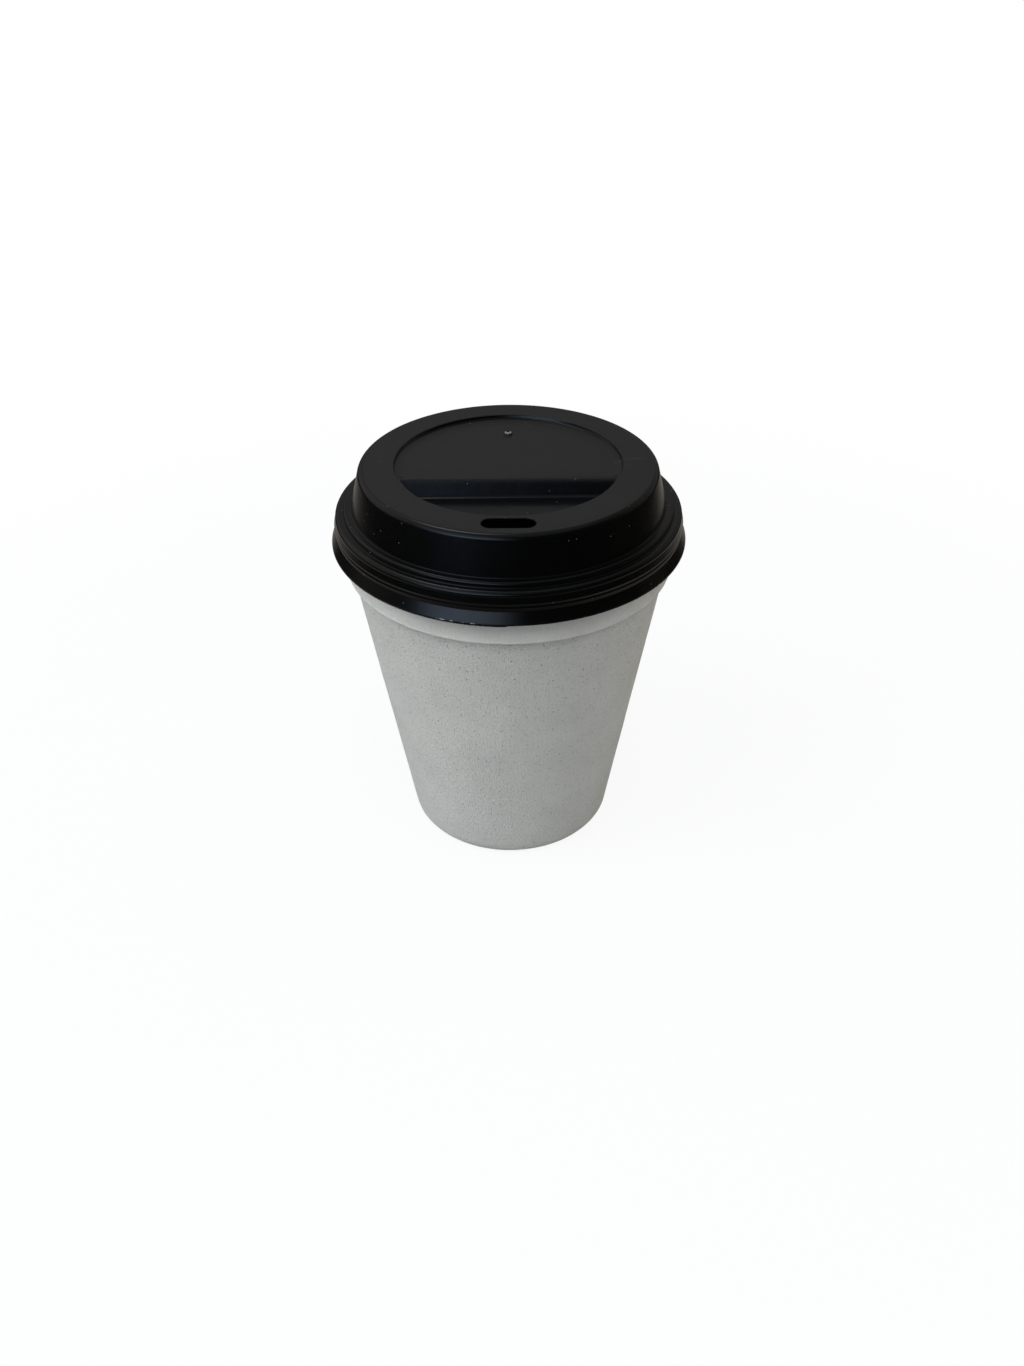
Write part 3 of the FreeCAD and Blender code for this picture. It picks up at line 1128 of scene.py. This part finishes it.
    def _recess_tool(self) -> bpy.types.Object:
        """Make the body that sinks the round panel, with the rounded rim and foot of its wall."""
        over = self.dome_level + self.skin
        corners = [
            Corner(0.0, over + self.spare),
            Corner(self.recess_radius + self.spare, over + self.spare),
            Corner(self.recess_radius + self.spare, over),
            Corner(self.recess_radius + self.recess_lean, over, self.recess_round),
            Corner(self.recess_radius - self.recess_lean, self.panel_level + self.recess_sag,
                   self.recess_foot_round),
            Corner(self.recess_radius - self.recess_sweep, self.panel_level, self.recess_sweep_round),
            Corner(0.0, self.panel_level),
        ]
        return Bench.turn("recess_tool", Outline(corners), self.steps, self.recess_shift)

    def _tray(self) -> bpy.types.Object:
        """Make the sheet under the panel."""
        corners = [
            Corner(0.0, self.dome_level - self.wall / 2),
            Corner(self.recess_radius + self.wall, self.dome_level - self.wall / 2),
            Corner(self.recess_radius + self.wall, self.panel_level - self.wall, self.tray_round),
            Corner(0.0, self.panel_level - self.wall),
        ]
        return Bench.turn("tray", Outline(corners), self.steps, self.recess_shift)

    def _well_rings(self, grow: float) -> list[WellRing]:
        """Work out the levels of the well, from above the panel down to its floor.

        Args:
            grow: Distance that every wall and the floor is set outwards.

        Returns:
            The levels, highest first.
        """
        depth = self.panel_level - self.well_level
        lean = math.atan2(depth, self.well_run)
        reach = self.fold_round * math.tan(lean / 2.0)
        circle = self.recess_radius - self.recess_foot - self.well_gap + grow
        rings = []

        def add(height: float, back: float) -> None:
            """Add a level whose sides follow the recess, drafted with depth."""
            sunk = max(0.0, (self.panel_level - height) / depth) * self.well_draft
            radius = circle - sunk
            offset = self.recess_shift - self.fold
            half = math.sqrt(radius ** 2 - offset ** 2)
            rings.append(WellRing(height, back + grow, self.recess_shift - radius, half))

        add(self.panel_level + self.well_over, self.fold + reach)
        for step in range(self.fold_steps + 1):
            turn = lean * step / self.fold_steps
            back = self.fold + reach - self.fold_round * math.sin(turn)
            add(self.panel_level + self.skin - self.fold_round * (1.0 - math.cos(turn)), back)
        add(self.well_level - grow, self.fold - self.well_run)
        return rings

    def _well_body(self, name: str, grow: float, rounding: float) -> bpy.types.Object:
        """Make a closed body of the drinking well's form.

        Args:
            name: Name of the object.
            grow: Distance that every wall and the floor is set outwards.
            rounding: Radius of the floor's edge.

        Returns:
            The body.
        """
        rings = self._well_rings(grow)
        top = rings[0]
        radius = self.recess_shift - top.front
        Bench.clear_selection()
        bpy.ops.mesh.primitive_circle_add(
            vertices=self.steps, radius=radius * MM, fill_type="NGON",
            location=(0.0, self.recess_shift * MM, top.height * MM))
        Bench.edit_all()
        bpy.ops.mesh.bisect(
            plane_co=(0.0, self.fold * MM, 0.0), plane_no=(0.0, 1.0, 0.0), clear_outer=True)
        bpy.ops.mesh.select_all(action="SELECT")
        last = WellRing(top.height, self.fold, top.front, top.half)
        self._shape_ring(last, top)
        for upper, lower in zip(rings, rings[1:]):
            drop = (lower.height - upper.height) * MM
            bpy.ops.mesh.extrude_region_move(TRANSFORM_OT_translate={"value": (0.0, 0.0, drop)})
            self._shape_ring(upper, lower)
        bpy.ops.mesh.bevel(offset=rounding * MM, segments=self.well_segments, affect="EDGES")
        return Bench.close_edit(name)

    @staticmethod
    def _shape_ring(before: WellRing, after: WellRing) -> None:
        """Fit the selected outline from one level's shape to another's.

        Args:
            before: The shape that it has.
            after: The shape that it gets.
        """
        wide = after.half / before.half
        deep = (after.back - after.front) / (before.back - before.front)
        bpy.ops.transform.resize(value=(wide, deep, 1.0), center_override=(0.0, before.front * MM, 0.0))
        bpy.ops.transform.translate(value=(0.0, (after.front - before.front) * MM, 0.0))

    def _slot_tool(self) -> bpy.types.Object:
        """Make the body that cuts the sip slot, flared at the top to round the slot's edge."""
        low = self.dome_level - 3.0 * self.wall
        Bench.clear_selection()
        bpy.ops.mesh.primitive_plane_add(size=1.0, location=(0.0, self.slot_place * MM, low * MM))
        Bench.edit_all()
        bpy.ops.transform.resize(value=(self.slot_length * MM, self.slot_width * MM, 1.0))
        bpy.ops.mesh.bevel(
            offset=self.slot_width * self.slot_ends * MM, segments=self.slot_segments, affect="VERTICES")
        bpy.ops.mesh.select_all(action="SELECT")
        grown = 0.0
        height = low
        levels = [(self.dome_level - self.slot_round, 0.0)]
        for step in range(1, self.slot_steps + 1):
            turn = math.pi / 2.0 * step / self.slot_steps
            rise = self.dome_level - self.slot_round * (1.0 - math.sin(turn)) + self.skin
            levels.append((rise, self.slot_round * (1.0 - math.cos(turn))))
        levels.append((self.dome_level + self.spare, self.slot_round))
        for level, grow in levels:
            bpy.ops.mesh.extrude_region_move(
                TRANSFORM_OT_translate={"value": (0.0, 0.0, (level - height) * MM)})
            wide = (self.slot_length + 2.0 * grow) / (self.slot_length + 2.0 * grown)
            deep = (self.slot_width + 2.0 * grow) / (self.slot_width + 2.0 * grown)
            bpy.ops.transform.resize(
                value=(wide, deep, 1.0), center_override=(0.0, self.slot_place * MM, 0.0))
            height = level
            grown = grow
        return Bench.close_edit("slot_tool")

    def _vent_boss(self) -> bpy.types.Object:
        """Make the small raised crater round the vent."""
        top = self.panel_level + self.vent_height
        corners = [
            Corner(0.0, self.panel_level - self.wall / 2),
            Corner(self.vent_radius, self.panel_level - self.wall / 2),
            Corner(self.vent_radius, self.panel_level + 0.05, 0.05),
            Corner(self.vent_top, top, 0.15),
            Corner(0.0, top),
        ]
        return Bench.turn("vent_boss", Outline(corners), self.small_steps, self.vent_place)

    def _vent_tool(self) -> bpy.types.Object:
        """Make the body that cuts the vent's pinhole."""
        top = self.panel_level + self.vent_height + self.skin
        corners = [
            Corner(0.0, self.panel_level - 3.0 * self.wall),
            Corner(self.vent_hole, self.panel_level - 3.0 * self.wall),
            Corner(self.vent_hole, top, 0.1),
            Corner(self.vent_hole + 0.3, top),
            Corner(self.vent_hole + 0.3, top + self.spare),
            Corner(0.0, top + self.spare),
        ]
        return Bench.turn("vent_tool", Outline(corners), self.small_steps, self.vent_place)

    def build(self, finish: LidFinish) -> bpy.types.Object:
        """Make and dress the lid.

        Args:
            finish: The plastic's finish.

        Returns:
            The lid.
        """
        lid = Bench.turn("sip_lid", self._shell_outline(), self.steps)
        self._slip_trim(lid)
        acts = [
            (self._tray, Cut.ADD),
            (lambda: self._well_body("trough", self.wall, self.well_round + self.wall), Cut.ADD),
            (self._recess_tool, Cut.REMOVE),
            (lambda: self._well_body("well_tool", 0.0, self.well_round), Cut.REMOVE),
            (self._slot_tool, Cut.REMOVE),
            (self._vent_boss, Cut.ADD),
            (self._vent_tool, Cut.REMOVE),
        ]
        for make, cut in acts:
            Bench.combine(lid, make(), cut)
        Bench.smooth(lid, self.smooth_below)
        lid.data.materials.append(finish.build())
        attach(lid, "lid")
        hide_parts("lid")
        return lid


@dataclass(frozen=True)
class Glow:
    """A soft patch of light in the surroundings.

    Attributes:
        toward: Direction from the cup to the patch.
        colour: Its colour and brightness.
        spread: Angle from its middle to where it has faded, in degrees.
        levels: Sines of the elevations between which an upright strip stands, or None for a
            round patch.
    """

    toward: tuple[float, float, float]
    colour: tuple[float, float, float]
    spread: float
    levels: tuple[float, float] | None = None


@dataclass(frozen=True)
class Lamp:
    """A square area lamp that points at the cup.

    Attributes:
        name: Name of the lamp.
        place: Where it hangs, in metres.
        width: Length of its side, in metres.
        power: Its power, in watts.
        colour: Its colour.
    """

    name: str
    place: tuple[float, float, float]
    width: float
    power: float
    colour: tuple[float, float, float] = (1.0, 1.0, 1.0)


STRIP_FOOT = 0.09
STRIP_HEAD = 0.12


def glow_sum(board: Board, ray: object, base: float, glows: Sequence[Glow]) -> Socket:
    """Add soft patches of light to a plain level.

    A strip fades over STRIP_FOOT above its lower level and over STRIP_HEAD below its upper one.

    Args:
        board: The node tree.
        ray: The direction that is looked in.
        base: The plain level.
        glows: The patches.

    Returns:
        The colour in that direction.
    """
    light = board.node("ShaderNodeCombineXYZ", {0: base, 1: base, 2: base}).outputs[0]
    level = board.node("ShaderNodeSeparateXYZ", {0: ray}).outputs["Z"]
    bearing = board.vector("MULTIPLY", ray, (1.0, 1.0, 0.0)).outputs[0]
    bearing = board.vector("NORMALIZE", bearing).outputs[0]
    for glow in glows:
        middle = tuple(Vector(glow.toward).normalized())
        looked = bearing if glow.levels else ray
        facing = board.vector("DOT_PRODUCT", looked, middle).outputs["Value"]
        amount = board.ramp(facing, math.cos(math.radians(glow.spread)), 1.0)
        if glow.levels:
            low, high = glow.levels
            foot = board.ramp(level, low, low + STRIP_FOOT)
            head = board.ramp(level, high - STRIP_HEAD, high, 1.0, 0.0)
            amount = board.product(amount, foot, head)
        patch = board.node("ShaderNodeVectorMath", {0: glow.colour, "Scale": amount}, operation="SCALE")
        light = board.vector("ADD", light, patch.outputs[0]).outputs[0]
    return light


@dataclass
class Tent:
    """A dim tent over the cup and the table, which only reflections show.

    The photograph's room was dim but for a bright upright patch ahead and to the left, a small
    one overhead and the lit table near the cup. Glossy black plastic shows little else.
    """

    name: str = "reflected_tent"
    radius: float = 1.0
    ground: float = 0.0005
    base: float = 0.008
    GLOWS: tuple[Glow, ...] = (
        Glow((-0.44, -0.90, 0.0), (0.66, 0.79, 0.97), 35.0, (0.20, 0.56)),
        Glow((-0.55, -0.70, 0.62), (0.40, 0.54, 0.80), 34.0),
        Glow((-0.20, 0.36, 0.90), (1.70, 1.78, 1.76), 12.5),
        Glow((-0.70, 0.30, 0.70), (0.20, 0.20, 0.19), 45.0),
        Glow((0.0, 0.1, 1.0), (0.14, 0.15, 0.15), 48.0),
        Glow((0.0, 1.0, 0.0), (0.022, 0.032, 0.046), 110.0, (0.10, 0.75)),
        Glow((-0.75, 0.66, 0.0), (0.110, 0.101, 0.090), 85.0, (0.0, 0.80)),
        Glow((0.60, 0.80, 0.0), (0.110, 0.099, 0.085), 66.0, (0.0, 0.80)),
    )
    table: tuple[float, float, float] = (0.275, 0.257, 0.229)
    table_near: float = 0.21
    table_far: float = 0.37
    table_front: float = 0.40
    front_from: float = 0.3

    def _table(self, board: Board, place: object, ray: object) -> Socket:
        """Light the table near the cup, less in front of it than at its sides.

        Args:
            board: The node tree.
            place: Coordinates on the tent.
            ray: Direction from the cup to there.

        Returns:
            The table's colour, which is black from the far radius on.
        """
        distance = board.vector("LENGTH", place).outputs["Value"]
        near = board.ramp(distance, self.table_near, self.table_far, 1.0, 0.0)
        ahead = board.vector("DOT_PRODUCT", ray, (0.0, -1.0, 0.0)).outputs["Value"]
        front = board.ramp(ahead, self.front_from, 1.0, 1.0, self.table_front)
        near = board.product(near, front)
        lit = board.node("ShaderNodeVectorMath", {0: self.table, "Scale": near}, operation="SCALE")
        return lit.outputs[0]

    def _material(self) -> bpy.types.Material:
        """Make the tent's own dim light."""
        material, board = start_material(self.name)
        place = board.node("ShaderNodeTexCoord").outputs["Object"]
        ray = board.vector("NORMALIZE", place).outputs[0]
        room = glow_sum(board, ray, self.base, self.GLOWS)
        lit = board.vector("ADD", room, self._table(board, place, ray)).outputs[0]
        light = board.node("ShaderNodeEmission", {"Color": lit})
        board.node("ShaderNodeOutputMaterial", {"Surface": light.outputs[0]})
        return material

    def build(self) -> None:
        """Stand the tent over the cup, closed just above the table."""
        Bench.clear_selection()
        bpy.ops.mesh.primitive_uv_sphere_add(segments=96, ring_count=48, radius=self.radius)
        Bench.edit_all()
        bpy.ops.mesh.bisect(
            plane_co=(0.0, 0.0, self.ground), plane_no=(0.0, 0.0, 1.0), use_fill=True,
            clear_inner=True)
        tent = Bench.close_edit(self.name)
        tent.data.materials.append(self._material())
        tent.visible_camera = False
        tent.visible_diffuse = False
        tent.visible_transmission = False
        tent.visible_shadow = False


@dataclass
class Studio:
    """Camera, floor, surroundings and lamps.

    The camera stands where the photograph was taken from: its height, distance and pitch come
    from the ellipses of the lid and the outline of the cup.
    """

    camera_height: float = 229.9
    camera_distance: float = 275.2
    camera_side: float = 0.52
    camera_pitch: float = 35.137
    camera_roll: float = 0.40
    focal_pixels: float = 1300.0
    image_height: float = 1366.0
    sensor: float = 36.0
    floor_radius: float = 0.34
    sky_base: float = 0.23

    SKY: tuple[Glow, ...] = (
        Glow((0.0, 0.1, 1.0), (0.72, 0.73, 0.74), 80.0),
        Glow((-1.0, -0.20, 0.45), (0.64, 0.66, 0.68), 60.0),
        Glow((1.0, 0.50, 0.15), (1.25, 1.03, 0.70), 48.0),
    )
    LAMPS: tuple[Lamp, ...] = (
        Lamp("over_left", (-0.85, -0.40, 1.05), 1.0, 15.5, (0.97, 1.0, 1.0)),
        Lamp("over_front", (0.10, -0.55, 1.25), 1.0, 11.0),
    )

    def add_camera(self) -> None:
        """Put the camera at the photograph's place."""
        data = bpy.data.cameras.new("camera")
        data.sensor_width = self.sensor
        data.lens = self.focal_pixels / self.image_height * self.sensor
        data.clip_start = 0.01
        camera = bpy.data.objects.new("camera", data)
        bpy.context.scene.collection.objects.link(camera)
        camera.location = Vector((self.camera_side, -self.camera_distance, self.camera_height)) * MM
        tilt = Matrix.Rotation(math.radians(90.0 - self.camera_pitch), 4, "X")
        roll = Matrix.Rotation(math.radians(-self.camera_roll), 4, "Z")
        camera.rotation_euler = (tilt @ roll).to_euler()
        bpy.context.scene.camera = camera

    def add_floor(self, finish: FloorFinish) -> None:
        """Lay the white floor.

        Args:
            finish: The floor's finish.
        """
        Bench.clear_selection()
        bpy.ops.mesh.primitive_circle_add(vertices=128, radius=self.floor_radius, fill_type="NGON")
        floor = bpy.context.object
        floor.name = "floor"
        floor.data.materials.append(finish.build())

    def add_world(self) -> None:
        """Light the cup from soft patches all round, before a white background."""
        world = bpy.data.worlds.new("surroundings")
        world.use_nodes = True
        bpy.context.scene.world = world
        board = Board(world.node_tree)
        ray = board.node("ShaderNodeTexCoord").outputs["Generated"]
        light = glow_sum(board, ray, self.sky_base, self.SKY)
        around = board.node("ShaderNodeBackground", {"Color": light, "Strength": 1.0})
        white = board.node("ShaderNodeBackground", {"Color": WHITE, "Strength": 1.0})
        mixed = board.node(
            "ShaderNodeMixShader", {0: board.seen(), 1: around.outputs[0], 2: white.outputs[0]})
        board.node("ShaderNodeOutputWorld", {"Surface": mixed.outputs[0]})

    def add_lamps(self) -> None:
        """Hang the soft lamps."""
        aim = Vector((0.0, 0.0, 0.05))
        for lamp in self.LAMPS:
            data = bpy.data.lights.new(lamp.name, "AREA")
            data.size = lamp.width
            data.energy = lamp.power
            data.color = lamp.colour
            light = bpy.data.objects.new(lamp.name, data)
            bpy.context.scene.collection.objects.link(light)
            light.location = lamp.place
            light.rotation_euler = (aim - light.location).to_track_quat("-Z", "Y").to_euler()
            light.visible_glossy = False

    def build(self) -> None:
        """Set up everything round the cup."""
        bpy.context.scene.view_settings.view_transform = "Standard"
        self.add_camera()
        self.add_floor(FloorFinish())
        Tent().build()
        self.add_world()
        self.add_lamps()


def report_piece(piece: bpy.types.Object) -> None:
    """Log a finished piece with its face count and size."""
    size = ", ".join(f"{side / MM:.1f}" for side in piece.dimensions)
    LOG.info("%s: %d faces, %s mm", piece.name, len(piece.data.polygons), size)


def main() -> None:
    """Build the studio, then each piece of the cup."""
    logging.basicConfig(level=logging.INFO, format="%(name)s: %(message)s")
    Studio().build()
    report_piece(FibreCup().build(PulpFinish()))
    report_piece(SipLid().build(LidFinish()))


if __name__ == "__main__":
    main()
